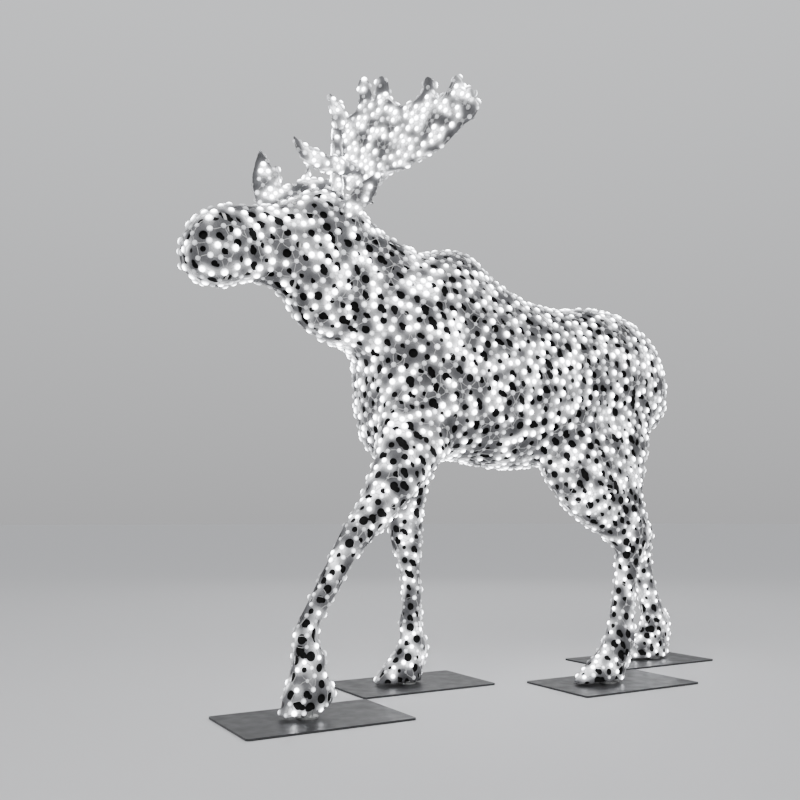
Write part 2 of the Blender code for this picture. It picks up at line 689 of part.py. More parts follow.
def make_ears():
    """The two ears, standing on the head."""
    head_form = loft("head_form", body_rings(HEAD, grow=FORM_MARGIN), cutters, True, True)
    for side in SIDES:
        ear = leaf("ear_" + side, side, EAR, parts)
        cut(ear, head_form)
        finish(ear, LIGHT_NET)


head_cover = make_body_covers()
make_leg_covers()
make_ears()


# ---------------------------------------------------------------- antlers

def antler_frame(side):
    """Base point, the palm's outward direction and the spigot's direction."""
    sign = SIDES[side]
    base = spot(ANTLER_BASE[0], sign * ANTLER_BASE[1], ANTLER_BASE[2])
    outward = Vector((math.cos(ANTLER_SPREAD), sign * math.sin(ANTLER_SPREAD), 0))
    spigot = outward * math.cos(SPIGOT_RISE) + Vector((0, 0, math.sin(SPIGOT_RISE)))
    return base, outward, spigot


def palm_outline():
    """The palm's outline, closed by a straight foot square to the spigot."""
    along = Vector((math.cos(SPIGOT_RISE), math.sin(SPIGOT_RISE)))
    square = Vector((math.sin(SPIGOT_RISE), -math.cos(SPIGOT_RISE)))
    foot = along * (SOCKET_TOP + GAP)
    corners = [foot + square * STEM_HALF_WIDTH, foot - square * STEM_HALF_WIDTH]
    return [tuple(corners[0])] + PALM + [tuple(corners[1])]


def make_antler(side):
    """One antler: a flat palm with tines, and its brow tine, bored for the spigot."""
    sign = SIDES[side]
    base, outward, spigot = antler_frame(side)
    up = Vector((0, 0, 1))
    axes = Matrix((outward, up, outward.cross(up))).transposed().to_4x4()
    curve = bpy.data.curves.new("antler_" + side, "CURVE")
    curve.dimensions = "2D"
    curve.fill_mode = "BOTH"
    curve.extrude = PALM_HALF_THICKNESS - PALM_EDGE
    curve.bevel_depth = PALM_EDGE
    curve.bevel_resolution = 0
    curve.offset = -PALM_EDGE
    curve.resolution_u = 2
    outline = palm_outline()
    spline = curve.splines.new("BEZIER")
    spline.bezier_points.add(len(outline) - 1)
    spline.use_cyclic_u = True
    for place, point in zip(spline.bezier_points, outline):
        place.co = (*point, 0.0)
        place.handle_left_type = "AUTO"
        place.handle_right_type = "AUTO"
    for corner in (0, -1):
        spline.bezier_points[corner].handle_left_type = "VECTOR"
        spline.bezier_points[corner].handle_right_type = "VECTOR"
    antler = weld_curve("antler_" + side, curve, Matrix.Translation(base) @ axes, parts)
    for tine, line in TINES[side].items():
        points = [spot(x, sign * y, z) for x, y, z, _ in line]
        radii = [radius for _, _, _, radius in line]
        cut(antler, curve_mesh(tine + "_tine_" + side, points, radii, cutters), "UNION")
    if side == "right":
        cut(antler, leaf("brow_leaf", side, BROW_LEAF, cutters), "UNION")
    cut(antler, rod_cutter("spigot_bore_" + side, base, base + spigot * (SPIGOT_REACH + GAP),
                           SPIGOT_RADIUS + GAP))
    finish(antler, LIGHT_NET, 50)


def make_antler_socket(side):
    """The spigot of one antler and the flanged socket it slides into."""
    base, _, spigot = antler_frame(side)
    place = facing(spigot, base)
    spigot_bore = SPIGOT_RADIUS - SPIGOT_WALL
    tube = [(SPIGOT_RADIUS, SPIGOT_REACH), (SPIGOT_RADIUS, -SPIGOT_DEPTH),
            (spigot_bore, -SPIGOT_DEPTH), (spigot_bore, SPIGOT_REACH)]
    turned("antler_spigot_" + side, tube, 24, place, BRIGHT_STEEL, closed=True)

    top = SOCKET_TOP
    flange = top - SOCKET_FLANGE_THICKNESS
    bottom = top - SOCKET_LENGTH
    profile = [
        (SOCKET_FLANGE_RADIUS, top), (SOCKET_FLANGE_RADIUS, flange), (SOCKET_RADIUS, flange),
        (SOCKET_RADIUS, bottom), (SOCKET_BORE, bottom), (SOCKET_BORE, top),
    ]
    socket = turned("antler_socket_" + side, profile, 24, place, WHITE_STEEL, closed=True)
    cut(head_cover, rod_cutter("socket_hole_" + side, base, base - spigot * 0.13,
                               SOCKET_RADIUS + 0.002))
    return socket


def make_antler_plug(side):
    """The plug in the spigot's end and the receptacle at the socket's foot."""
    base, _, spigot = antler_frame(side)
    place = facing(spigot, base)
    outer = SPIGOT_RADIUS - SPIGOT_WALL - GAP
    low = -SPIGOT_DEPTH
    plug = [(0.0, low + PLUG_HEIGHT), (outer, low + PLUG_HEIGHT), (outer, low),
            (PLUG_BORE, low), (PLUG_BORE, low + PLUG_BORE_DEPTH), (0.0, low + PLUG_BORE_DEPTH)]
    turned("antler_plug_" + side, plug, 16, place, BLACK_PLASTIC, closed=False)
    seat = SOCKET_BORE - GAP
    seat_top = low - GAP
    seat_bottom = SOCKET_TOP - SOCKET_LENGTH + 0.001
    receptacle = [(0.0, seat_top + PIN_HEIGHT), (PIN_RADIUS, seat_top + PIN_HEIGHT),
                  (PIN_RADIUS, seat_top), (seat, seat_top), (seat, seat_bottom),
                  (0.0, seat_bottom)]
    turned("antler_receptacle_" + side, receptacle, 16, place, BLACK_PLASTIC, closed=False)


def make_clamp_knob(side, socket):
    """The knob whose screw clamps the spigot, square to it on the forward side."""
    base, outward, spigot = antler_frame(side)
    palm_normal = outward.cross(Vector((0, 0, 1)))
    if palm_normal.x < 0:
        palm_normal = -palm_normal
    rise = spigot.cross(palm_normal)
    if rise.z < 0:
        rise = -rise
    knob_way = (palm_normal * KNOB_FORWARD + rise * KNOB_RISE).normalized()
    knob_root = base - spigot * KNOB_BELOW_BASE
    cut(socket, rod_cutter("knob_hole_" + side, knob_root, knob_root + knob_way * 0.04,
                           KNOB_SCREW_RADIUS + GAP))
    screw_tip = knob_root + knob_way * (SPIGOT_RADIUS + 0.0005)
    headed_screw("antler_knob_" + side, facing(knob_way, screw_tip), KNOB_SCREW_RADIUS,
                 KNOB_SHANK, wavy_ring(KNOB_RADIUS, KNOB_LOBE, 6, 24), KNOB_HEIGHT, BLACK_PLASTIC)


for antler_side in SIDES:
    make_antler(antler_side)
    antler_socket = make_antler_socket(antler_side)
    make_antler_plug(antler_side)
    make_clamp_knob(antler_side, antler_socket)


# ---------------------------------------------------------------- power supply and leads

def make_driver_box():
    """The weatherproof box under the spine: bracket, box, driver, lid and supply gland."""
    x, y, z = BOX_CENTRE
    top = z + BOX_HEIGHT / 2
    web_top = spine_height(spot(x, 0, 0).x) - FRAME_RADIUS - BRACKET_CLEARANCE
    strap_foot = top + GAP
    bracket = box("driver_bracket", BRACKET_SIZE, spot(x, y, strap_foot + BRACKET_SIZE[2] / 2),
                  0.0, BRIGHT_STEEL)
    web_height = web_top - strap_foot
    web = box("bracket_web", (*BRACKET_WEB, web_height), spot(x, y, strap_foot + web_height / 2),
              0.0, BRIGHT_STEEL, cutters)
    cut(bracket, web, "UNION")

    bm = bmesh.new()
    bmesh.ops.create_cube(bm, size=1.0,
                          matrix=Matrix.Diagonal((BOX_LENGTH, BOX_WIDTH, BOX_HEIGHT, 1.0)))
    floor_face = min(bm.faces, key=lambda face: face.calc_center_median().z)
    bmesh.ops.delete(bm, geom=[floor_face], context="FACES_ONLY")
    case = add_mesh("driver_box", bm, parts)
    case.location = spot(x, y, z)
    shell(case, BOX_WALL)
    finish(case, GREY_PLASTIC)

    lid_z = z - BOX_HEIGHT / 2 - GAP - LID_THICKNESS / 2
    lid = (BOX_LENGTH + 2 * LID_OVERHANG, BOX_WIDTH + 2 * LID_OVERHANG, LID_THICKNESS)
    box("driver_box_lid", lid, spot(x, y, lid_z), 0.002, GREY_PLASTIC)
    driver_z = top - BOX_WALL - GAP - DRIVER_SIZE[2] / 2
    box("led_driver", DRIVER_SIZE, spot(x, y, driver_z), 0.002, BRIGHT_STEEL)

    gland = [(0.0, 0.030), (0.006, 0.030), (0.010, 0.024), (0.013, 0.018), (0.013, GAP),
             (0.0078, GAP), (0.0078, -0.012), (0.0, -0.012)]
    rear_wall = spot(x + BOX_LENGTH / 2, y, z)
    turned("supply_gland", gland, 16, facing(Vector((1, 0, 0)), rear_wall), BLACK_PLASTIC,
           closed=False)
    cut(case, rod_cutter("gland_hole", rear_wall - Vector((0.02, 0, 0)),
                         rear_wall + Vector((0.02, 0, 0)), GLAND_HOLE_RADIUS))


def make_leads():
    """Low-voltage leads from the driver box, held along the frame."""
    x, _, z = BOX_CENTRE
    front = x - BOX_LENGTH / 2 - LEAD_CLEARANCE
    rear = x + BOX_LENGTH / 2 + LEAD_CLEARANCE
    bar("head_lead", [
        spot(front, 0.03, z), spot(1.00, 0.035, 1.66), spot(0.90, 0.034, 1.80),
        spot(0.76, 0.032, 1.870), spot(0.60, 0.030, 1.845), spot(0.45, 0.030, 1.810),
        spot(0.32, 0.030, 1.785), spot(0.262, 0.030, 1.845), spot(0.248, 0.030, 1.900),
        spot(0.244, 0.030, 1.960),
    ], LEAD_RADIUS, CABLE)
    bar("front_leg_lead", [
        spot(front, -0.03, z), spot(0.98, -0.04, 1.56), spot(0.84, -0.035, 1.42),
        spot(0.72, -0.035, 1.345), spot(0.64, -0.07, 1.335),
    ], LEAD_RADIUS, CABLE)
    bar("hind_leg_lead", [
        spot(rear, -0.035, z), spot(1.40, -0.04, 1.58), spot(1.48, -0.04, 1.50),
        spot(1.54, -0.045, 1.41), spot(1.575, -0.07, 1.393),
    ], LEAD_RADIUS, CABLE)


make_driver_box()
make_leads()
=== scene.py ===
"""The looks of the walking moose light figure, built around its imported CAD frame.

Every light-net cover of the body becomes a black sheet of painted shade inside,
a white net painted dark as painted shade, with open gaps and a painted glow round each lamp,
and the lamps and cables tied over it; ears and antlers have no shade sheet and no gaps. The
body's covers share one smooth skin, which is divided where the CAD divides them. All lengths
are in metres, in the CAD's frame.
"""

import json
import math
from typing import NamedTuple

import bmesh
import bpy
import numpy as np
from mathutils import Matrix, Vector
from mathutils.bvhtree import BVHTree
from mathutils.kdtree import KDTree


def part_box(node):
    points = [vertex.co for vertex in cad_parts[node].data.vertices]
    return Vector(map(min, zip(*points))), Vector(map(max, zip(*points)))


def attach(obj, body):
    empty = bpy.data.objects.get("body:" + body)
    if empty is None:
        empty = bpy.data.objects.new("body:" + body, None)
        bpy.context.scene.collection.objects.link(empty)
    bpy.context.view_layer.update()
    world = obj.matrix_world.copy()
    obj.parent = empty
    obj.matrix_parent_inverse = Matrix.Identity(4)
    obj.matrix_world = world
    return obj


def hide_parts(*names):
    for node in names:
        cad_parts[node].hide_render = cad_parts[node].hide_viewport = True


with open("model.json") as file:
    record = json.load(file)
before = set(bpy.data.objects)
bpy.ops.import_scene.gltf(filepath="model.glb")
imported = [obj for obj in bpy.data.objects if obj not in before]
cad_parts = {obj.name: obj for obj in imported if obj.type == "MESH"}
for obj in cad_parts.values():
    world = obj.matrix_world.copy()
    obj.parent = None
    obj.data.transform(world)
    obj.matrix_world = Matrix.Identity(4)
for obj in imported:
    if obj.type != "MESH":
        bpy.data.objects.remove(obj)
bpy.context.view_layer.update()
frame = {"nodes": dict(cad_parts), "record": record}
nodes = frame["nodes"]
random = np.random.default_rng(20)

# ---------------------------------------------------------------- sizes

CENTRE_X = 0.970           # the frame's origin, from the front left plate's centre
FULLNESS = 0.88            # 1 is an ellipse, less is squarer
RING_POINTS = 36
ROW_STEPS = 5              # rings made for each section
FOOT_Y = 0.22

BODY_VOXEL = 0.008
BODY_ROUNDS = 14           # of smoothing
THIN_VOXEL = 0.0045        # on ears and antlers
THIN_ROUNDS = 5
WELD = 0.00002
NET_DEPTH = 0.008          # the net lies this far inside the CAD cover
LEG_NET_DEPTH = 0.003      # and this far on the legs
THIN_DEPTH = 0.005         # and this far on ears and antlers
NET_WALL = 0.003
SHADE_SHEET_DEPTH = 0.014       # the black sheet of painted shade, inside the net
SHADE_SHEET_LEG_CUT = 0.4       # taken off that on the legs, as a share
SHADE_SHEET_WALL = 0.002
LEG_TOP = 1.08             # below these heights a leg's finer net begins and is full
LEG_FULL = 0.90
SOLE_HEIGHT = 0.070        # faces below this that look down are the open soles
SOLE_FACING = -0.5
LAMP_FLOOR = 0.030         # no lamp's middle is lower
BORE_RADIUS = 0.017        # fills an antler's spigot bore
BORE_REACH = 0.112
BORE_SIDES = 24
SOCKET_ROOM = 0.027        # nets keep this far from a socket's axis
SOCKET_REACH = 0.10        # within this of its middle
FLANGE_ROOM = 0.058        # lamps keep this far from a flange
FLANGE_TOP = 0.014         # an antler's own lamps start this high over it
KNOB_ROOM = 0.038          # and lamps keep this far from a knob's middle

GAP_SPACING = (0.042, 0.070)
GAP_LEG_SCALE = 0.82
GAP_RADIUS = (0.009, 0.020)
GAP_SLANT = (0.7, 0.0, -0.7)           # the way most runs of gaps lie
GAP_SLANT_SPREAD = 0.45
GAP_RUNS = ((1.10, 0.65), (-1.05, 0.30))  # place of a run's next gap in radii, share that have it
GAP_RUN_SCALE = (0.55, 0.85)
GAP_EDGE = 0.006           # edges this near a gap's rim are moved onto it
GAP_CLEARANCE = 0.007      # between a gap and a lamp's middle
GAP_CABLE_SHARE = 0.8      # cables stay out of this share of a gap's radius
TRIES = 14                 # points tried for each square of the closest spacing
LAMP_LEG_SCALE = 0.95
LAMP_LEG_CUT = 0.22        # taken off a lamp's size on the legs, as a share
DIM_POWER = 0.06           # lamps turned away
MIDDLING_POWER = (0.20, 0.65)
GLOW_REACH = 2.6           # a lamp lights the net this far, in spreads
CABLE_BOW = 0.16           # of a cable's length
CABLE_TURN = 0.2           # least agreement of two lamps' directions for a cable


class Lamps(NamedTuple):
    """How a kind of cover is set with lamps and cables."""

    spacing: tuple        # least and most, between lamps
    bright: float         # share of the lamps at full power
    dim: float            # share turned away
    size: tuple           # least and most scale of an unlit lamp
    size_by_power: float  # added to that at full power
    radius: float
    height: float
    spread: float         # of a lamp's light over the net
    gain: float
    wrap: float           # how far that light goes round an edge
    cable_reach: float    # the longest cable
    cable_radius: float
    cable_lift: float     # over the net


BODY_LAMPS = Lamps(spacing=(0.027, 0.042), bright=0.48, dim=0.04, size=(0.50, 0.82),
                   size_by_power=0.50, radius=0.0135, height=0.0120, spread=0.026, gain=0.70,
                   wrap=0.0, cable_reach=0.060, cable_radius=0.0015, cable_lift=0.0025)
THIN_LAMPS = Lamps(spacing=(0.021, 0.034), bright=0.50, dim=0.20, size=(0.60, 0.95),
                   size_by_power=0.36, radius=0.0115, height=0.0095, spread=0.021, gain=0.84,
                   wrap=1.0, cable_reach=0.048, cable_radius=0.0012, cable_lift=0.002)

# Sections of the head, neck and torso: (x, z) of the upper edge, (x, z) of the lower edge, half
# width. They run from the nose to the rump.
BODY = [
    ((-0.495, 1.820), (-0.492, 1.770), 0.050),
    ((-0.477, 1.888), (-0.468, 1.716), 0.096),
    ((-0.439, 1.950), (-0.400, 1.677), 0.126),
    ((-0.358, 2.004), (-0.315, 1.670), 0.134),
    ((-0.245, 2.024), (-0.225, 1.704), 0.124),
    ((-0.130, 2.042), (-0.120, 1.702), 0.124),
    ((-0.030, 2.090), (-0.035, 1.648), 0.138),
    ((0.085, 2.165), (0.035, 1.548), 0.152),
    ((0.215, 2.150), (0.150, 1.493), 0.160),
    ((0.330, 2.050), (0.208, 1.479), 0.166),
    ((0.440, 1.984), (0.258, 1.460), 0.182),
    ((0.590, 1.940), (0.306, 1.400), 0.212),
    ((0.690, 1.966), (0.317, 1.250), 0.248),
    ((0.785, 1.976), (0.344, 1.105), 0.268),
    ((0.870, 1.936), (0.410, 1.005), 0.280),
    ((0.970, 1.858), (0.560, 0.990), 0.288),
    ((1.085, 1.803), (0.780, 1.010), 0.294),
    ((1.220, 1.772), (1.020, 0.978), 0.296),
    ((1.360, 1.766), (1.260, 0.995), 0.290),
    ((1.520, 1.792), (1.460, 1.040), 0.282),
    ((1.665, 1.788), (1.630, 1.090), 0.276),
    ((1.786, 1.752), (1.785, 1.135), 0.258),
    ((1.878, 1.692), (1.916, 1.170), 0.222),
    ((1.946, 1.612), (1.990, 1.218), 0.165),
    ((1.996, 1.520), (2.016, 1.350), 0.085),
]
# Leg sections from the body down to the sole: (x, z) of the front, (x, z) of the rear, half width,
# distance from the middle.
LEGS = {
    "front_left": [
        ((0.360, 1.300), (0.720, 1.260), 0.085, 0.140),
        ((0.305, 1.080), (0.660, 1.060), 0.100, 0.170),
        ((0.276, 0.960), (0.545, 0.950), 0.094, 0.190),
        ((0.210, 0.820), (0.425, 0.820), 0.080, 0.205),
        ((0.128, 0.710), (0.300, 0.710), 0.065, 0.215),
        ((0.064, 0.590), (0.172, 0.590), 0.055, FOOT_Y),
        ((0.010, 0.490), (0.112, 0.490), 0.051, FOOT_Y),
        ((-0.028, 0.420), (0.066, 0.420), 0.047, FOOT_Y),
        ((-0.066, 0.350), (0.026, 0.350), 0.046, FOOT_Y),
        ((-0.082, 0.290), (0.014, 0.290), 0.047, FOOT_Y),
        ((-0.080, 0.220), (0.047, 0.240), 0.052, FOOT_Y),
        ((-0.095, 0.150), (0.052, 0.170), 0.055, FOOT_Y),
        ((-0.122, 0.080), (0.088, 0.105), 0.060, FOOT_Y),
        ((-0.135, 0.012), (0.080, 0.052), 0.062, FOOT_Y),
    ],
    "front_right": [
        ((0.620, 1.300), (0.930, 1.260), 0.085, 0.140),
        ((0.600, 1.060), (0.840, 1.060), 0.095, 0.170),
        ((0.585, 0.950), (0.774, 0.940), 0.085, 0.190),
        ((0.572, 0.820), (0.742, 0.820), 0.072, 0.205),
        ((0.580, 0.700), (0.742, 0.700), 0.062, 0.215),
        ((0.596, 0.620), (0.740, 0.620), 0.055, FOOT_Y),
        ((0.632, 0.530), (0.732, 0.530), 0.048, FOOT_Y),
        ((0.650, 0.420), (0.738, 0.420), 0.045, FOOT_Y),
        ((0.650, 0.340), (0.738, 0.330), 0.045, FOOT_Y),
        ((0.634, 0.270), (0.741, 0.250), 0.047, FOOT_Y),
        ((0.638, 0.200), (0.768, 0.180), 0.052, FOOT_Y),
        ((0.600, 0.135), (0.768, 0.135), 0.055, FOOT_Y),
        ((0.545, 0.080), (0.745, 0.070), 0.060, FOOT_Y),
        ((0.502, 0.012), (0.742, 0.012), 0.062, FOOT_Y),
    ],
    "hind_left": [
        ((1.250, 1.360), (1.900, 1.320), 0.100, 0.140),
        ((1.155, 1.040), (1.800, 1.070), 0.110, 0.170),
        ((1.220, 0.870), (1.738, 0.900), 0.100, 0.190),
        ((1.345, 0.745), (1.738, 0.780), 0.085, 0.200),
        ((1.480, 0.665), (1.765, 0.690), 0.065, 0.212),
        ((1.553, 0.600), (1.720, 0.600), 0.055, FOOT_Y),
        ((1.553, 0.520), (1.675, 0.520), 0.048, FOOT_Y),
        ((1.536, 0.410), (1.642, 0.410), 0.045, FOOT_Y),
        ((1.508, 0.310), (1.632, 0.290), 0.046, FOOT_Y),
        ((1.478, 0.215), (1.632, 0.195), 0.052, FOOT_Y),
        ((1.430, 0.150), (1.605, 0.130), 0.055, FOOT_Y),
        ((1.345, 0.085), (1.575, 0.070), 0.060, FOOT_Y),
        ((1.272, 0.014), (1.548, 0.014), 0.062, FOOT_Y),
    ],
    "hind_right": [
        ((1.450, 1.360), (1.920, 1.320), 0.080, 0.130),
        ((1.500, 1.050), (2.000, 1.080), 0.100, 0.170),
        ((1.660, 0.900), (2.075, 0.930), 0.090, 0.190),
        ((1.830, 0.790), (2.135, 0.810), 0.075, 0.205),
        ((1.980, 0.700), (2.212, 0.690), 0.062, 0.215),
        ((2.060, 0.600), (2.200, 0.600), 0.052, FOOT_Y),
        ((2.092, 0.500), (2.200, 0.500), 0.046, FOOT_Y),
        ((2.118, 0.400), (2.220, 0.400), 0.044, FOOT_Y),
        ((2.134, 0.290), (2.262, 0.290), 0.046, FOOT_Y),
        ((2.140, 0.200), (2.325, 0.195), 0.052, FOOT_Y),
        ((2.110, 0.140), (2.312, 0.130), 0.055, FOOT_Y),
        ((2.068, 0.085), (2.300, 0.070), 0.060, FOOT_Y),
        ((2.030, 0.012), (2.290, 0.012), 0.062, FOOT_Y),
    ],
}


# ---------------------------------------------------------------- materials

def new_material(name):
    """A node material with its Principled shader."""
    made = bpy.data.materials.new(name)
    made.use_nodes = True
    return made, made.node_tree, made.node_tree.nodes["Principled BSDF"]


def node(tree, kind, **inputs):
    """A shader node with some of its inputs set."""
    made = tree.nodes.new(kind)
    for name, value in inputs.items():
        made.inputs[name.replace("_", " ")].default_value = value
    return made


def noise(tree, scale, detail=4.0, stretch=None):
    """Noise over the object's own coordinates."""
    place = tree.nodes.new("ShaderNodeTexCoord")
    made = node(tree, "ShaderNodeTexNoise", Scale=scale, Detail=detail)
    if stretch:
        mapping = tree.nodes.new("ShaderNodeMapping")
        mapping.inputs["Scale"].default_value = stretch
        tree.links.new(place.outputs["Object"], mapping.inputs["Vector"])
        tree.links.new(mapping.outputs["Vector"], made.inputs["Vector"])
    else:
        tree.links.new(place.outputs["Object"], made.inputs["Vector"])
    return made.outputs["Fac"]


def cells(tree, scale, feature="F1"):
    """Cell pattern over the object's own coordinates."""
    place = tree.nodes.new("ShaderNodeTexCoord")
    made = node(tree, "ShaderNodeTexVoronoi", Scale=scale)
    made.feature = feature
    tree.links.new(place.outputs["Object"], made.inputs["Vector"])
    return made.outputs["Distance"]


def ramp(tree, factor, stops):
    """A colour ramp of (position, colour or grey)."""
    made = tree.nodes.new("ShaderNodeValToRGB")
    marks = made.color_ramp.elements
    for index, (place, colour) in enumerate(stops):
        if index >= len(marks):
            marks.new(place)
        marks[index].position = place
        marks[index].color = (*(colour if isinstance(colour, tuple) else (colour,) * 3), 1.0)
    tree.links.new(factor, made.inputs["Fac"])
    return made.outputs["Color"]


def mixed(tree, factor, first, second, blend="MIX"):
    """Mix two colours, each a socket or a value, by a socket or a number."""
    made = tree.nodes.new("ShaderNodeMix")
    made.data_type = "RGBA"
    made.blend_type = blend
    for place, value in ((0, factor), (6, first), (7, second)):
        socket = made.inputs[place]
        if isinstance(value, bpy.types.NodeSocket):
            tree.links.new(value, socket)
        else:
            socket.default_value = (*value, 1.0) if isinstance(value, tuple) else value
    return made.outputs[2]


def bumped(tree, shader, height, distance, strength=1.0):
    """Give a shader a bump."""
    made = node(tree, "ShaderNodeBump", Distance=distance, Strength=strength)
    tree.links.new(height, made.inputs["Height"])
    tree.links.new(made.outputs["Normal"], shader.inputs["Normal"])


def coated_steel(name, dark, light, roughness, metallic=0.0):
    """Powder-coated steel: a faint orange peel, cloudy gloss and a little dust."""
    made, tree, shader = new_material(name)
    shader.inputs["Metallic"].default_value = metallic
    cloud = ramp(tree, noise(tree, 7.0), [(0.3, dark), (0.7, light)])
    speck = ramp(tree, noise(tree, 260.0, 2.0), [(0.35, 0.88), (0.65, 1.0)])
    tree.links.new(mixed(tree, 1.0, cloud, speck, "MULTIPLY"), shader.inputs["Base Color"])
    gloss = ramp(tree, noise(tree, 16.0), [(0.3, roughness - 0.07), (0.7, roughness + 0.09)])
    tree.links.new(gloss, shader.inputs["Roughness"])
    bumped(tree, shader, noise(tree, 420.0, 1.0), 0.00025, 0.5)
    return made


def plated_steel():
    """Zinc-plated steel with its faint spangle."""
    made, tree, shader = new_material("zinc_plated_steel")
    shader.inputs["Metallic"].default_value = 1.0
    spangle = ramp(tree, cells(tree, 160.0),
                   [(0.1, (0.48, 0.49, 0.50)), (0.9, (0.68, 0.68, 0.66))])
    tree.links.new(spangle, shader.inputs["Base Color"])
    tree.links.new(ramp(tree, noise(tree, 60.0), [(0.3, 0.25), (0.7, 0.42)]),
                   shader.inputs["Roughness"])
    bumped(tree, shader, noise(tree, 500.0, 2.0), 0.0002, 0.4)
    return made


def plastic(name, dark, light, roughness, grain):
    """Moulded plastic with a fine grain."""
    made, tree, shader = new_material(name)
    cloud = ramp(tree, noise(tree, 30.0), [(0.3, dark), (0.7, light)])
    tree.links.new(cloud, shader.inputs["Base Color"])
    gloss = ramp(tree, noise(tree, 90.0), [(0.3, roughness - 0.08), (0.7, roughness + 0.08)])
    tree.links.new(gloss, shader.inputs["Roughness"])
    bumped(tree, shader, noise(tree, grain, 2.0), 0.0003, 0.5)
    return made


def glow_value(tree):
    """How brightly the lamps light each point, which the meshes carry."""
    made = tree.nodes.new("ShaderNodeAttribute")
    made.attribute_name = "glow"
    return made.outputs["Fac"]


def net_material():
    """White net of twisted yarn, its colour painted near black as painted shade, with a painted
    glow round each lamp.
    """
    made, tree, shader = new_material("white_net")
    yarn = cells(tree, 230.0, "DISTANCE_TO_EDGE")
    weave = ramp(tree, yarn, [(0.0, 1.0), (0.22, 0.45)])
    # painted shade: the white net's own colour is set near black, as if unlit between the lamps
    painted_shade_tone = ramp(tree, noise(tree, 24.0),
                [(0.3, (0.036, 0.037, 0.040)), (0.75, (0.11, 0.112, 0.118))])
    tree.links.new(mixed(tree, 1.0, painted_shade_tone, weave, "MULTIPLY"), shader.inputs["Base Color"])
    # painted glow: the net is no lamp; this emission stands in for the lamps' light falling on it
    light = ramp(tree, glow_value(tree),
                 [(0.0, (0.0, 0.0, 0.0)), (0.35, (0.035, 0.035, 0.037)),
                  (0.65, (0.20, 0.203, 0.21)), (1.0, (1.0, 1.01, 1.05))])
    tree.links.new(mixed(tree, 0.45, light, weave, "MULTIPLY"), shader.inputs["Emission Color"])
    shader.inputs["Emission Strength"].default_value = 4.2
    shader.inputs["Roughness"].default_value = 0.75
    bumped(tree, shader, weave, 0.0008, 0.6)
    made.cycles.emission_sampling = "NONE"
    return made


def shade_sheet_material():
    """Black knitted sheet behind the net: painted shade, standing in for the dark inside the
    figure.
    """
    # painted shade: a near-black sheet where the figure's inside is only in the dark
    made, tree, shader = new_material("painted_shade_sheet")
    knit = cells(tree, 320.0)
    tree.links.new(ramp(tree, knit, [(0.1, 0.012), (0.8, 0.004)]), shader.inputs["Base Color"])
    shader.inputs["Roughness"].default_value = 0.9
    shader.inputs["Specular IOR Level"].default_value = 0.15
    bumped(tree, shader, knit, 0.0008, 0.5)
    return made


def lamp_material():
    """Frosted lamp cap, lit from inside."""
    made, tree, shader = new_material("frosted_lamp")
    frost = ramp(tree, noise(tree, 700.0, 2.0),
                 [(0.3, (0.34, 0.345, 0.35)), (0.7, (0.46, 0.46, 0.465))])
    tree.links.new(frost, shader.inputs["Base Color"])
    light = ramp(tree, glow_value(tree),
                 [(0.0, (0.0, 0.0, 0.0)), (0.35, (0.04, 0.041, 0.043)),
                  (0.7, (0.22, 0.224, 0.235)), (1.0, (1.0, 1.01, 1.05))])
    sparkle = ramp(tree, noise(tree, 700.0, 2.0), [(0.3, 0.82), (0.7, 1.0)])
    tree.links.new(mixed(tree, 1.0, light, sparkle, "MULTIPLY"), shader.inputs["Emission Color"])
    shader.inputs["Emission Strength"].default_value = 26.0
    shader.inputs["Roughness"].default_value = 0.28
    bumped(tree, shader, noise(tree, 900.0, 1.0), 0.0002, 0.4)
    made.cycles.emission_sampling = "NONE"
    return made


PAINTS = {
    "white_coated_steel": coated_steel("white_coated_steel", (0.70, 0.70, 0.69),
                                       (0.80, 0.80, 0.79), 0.40),
    "dark_coated_steel": coated_steel("dark_coated_steel", (0.030, 0.031, 0.033),
                                      (0.046, 0.047, 0.049), 0.42, 0.35),
    "zinc_plated_steel": plated_steel(),
    "grey_plastic": plastic("grey_plastic", (0.26, 0.27, 0.28), (0.33, 0.34, 0.35), 0.55, 420.0),
    "black_plastic": plastic("black_plastic", (0.02, 0.02, 0.02), (0.035, 0.035, 0.036), 0.5,
                             420.0),
    "white_cable": plastic("white_cable", (0.66, 0.66, 0.64), (0.76, 0.76, 0.74), 0.45, 300.0),
}
NET = net_material()
SHADE_SHEET = shade_sheet_material()
LAMP = lamp_material()
LAMP_HOLDER = plastic("lamp_holder", (0.55, 0.55, 0.55), (0.66, 0.66, 0.66), 0.5, 300.0)
STRING = plastic("string_cable", (0.50, 0.50, 0.50), (0.64, 0.64, 0.64), 0.45, 300.0)


# ---------------------------------------------------------------- skins

def linked(name, data):
    """A new object in the scene."""
    made = bpy.data.objects.new(name, data)
    bpy.context.scene.collection.objects.link(made)
    return made


def mesh_object(name, verts, faces, paints):
    """An object from plain lists, smooth shaded."""
    mesh = bpy.data.meshes.new(name)
    mesh.from_pydata(verts, [], faces)
    mesh.polygons.foreach_set("use_smooth", [True] * len(mesh.polygons))
    for paint in paints:
        mesh.materials.append(paint)
    return linked(name, mesh)


def flat_row(row):
    """A section as one list of numbers."""
    (ax, az), (bx, bz), *rest = row
    return np.array([ax, az, bx, bz, *rest])


def smooth_rows(rows, steps):
    """Sections set between the given ones, on a smooth curve through them."""
    rows = [flat_row(row) for row in rows]
    rows = [2 * rows[0] - rows[1], *rows, 2 * rows[-1] - rows[-2]]
    made = []
    for a, b, c, d in zip(rows, rows[1:], rows[2:], rows[3:]):
        for step in range(steps):
            t = step / steps
            made.append(0.5 * (2 * b + (c - a) * t + (2 * a - 5 * b + 4 * c - d) * t * t
                               + (3 * b - a - 3 * c + d) * t ** 3))
    made.append(rows[-2])
    return made


